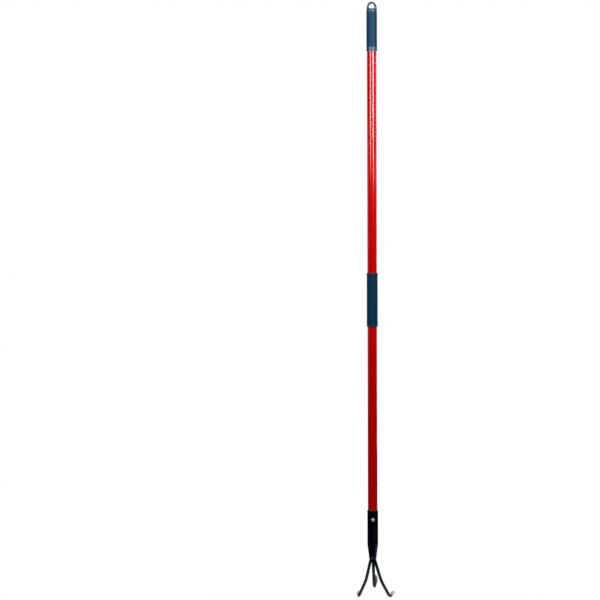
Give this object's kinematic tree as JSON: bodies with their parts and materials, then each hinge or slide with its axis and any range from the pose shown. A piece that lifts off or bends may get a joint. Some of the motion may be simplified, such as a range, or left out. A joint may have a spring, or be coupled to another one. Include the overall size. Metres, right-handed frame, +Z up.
{
  "type": "garden cultivator",
  "caption": "Long-handled garden cultivator: painted tubular shaft, moulded end grip with hang loop, mid grip, and a socketed head of splayed, hooked tines with spear points.",
  "frame": {"origin": "crown of the hang loop's opening, on the shaft's axis, where a hook bears", "axes": "+Z up along the shaft, away from the head; -Y to the front, which the head screw faces; the tines' points reach back towards +Y"},
  "size_m": [0.101, 0.0751, 1.56],
  "materials": {
    "navy_plastic": "fine moulded grain, smooth glossy end bands",
    "red_paint": "gloss powder coat",
    "black_enamel": "gloss enamel, worn to bare steel at the points",
    "bright_steel": "zinc plated",
    "bare_steel": "drawn steel, unpainted"
  },
  "bodies": {
    "root": {"end_grip": "navy_plastic", "upper_tube": "red_paint", "joint_spigot": "bare_steel", "mid_grip": "navy_plastic", "lower_tube": "red_paint", "head_socket": "black_enamel", "head_screw": "bright_steel", "tine_left": "black_enamel", "tine_middle": "black_enamel", "tine_right": "black_enamel", "neck_weld": "black_enamel"}
  },
  "joints": []
}
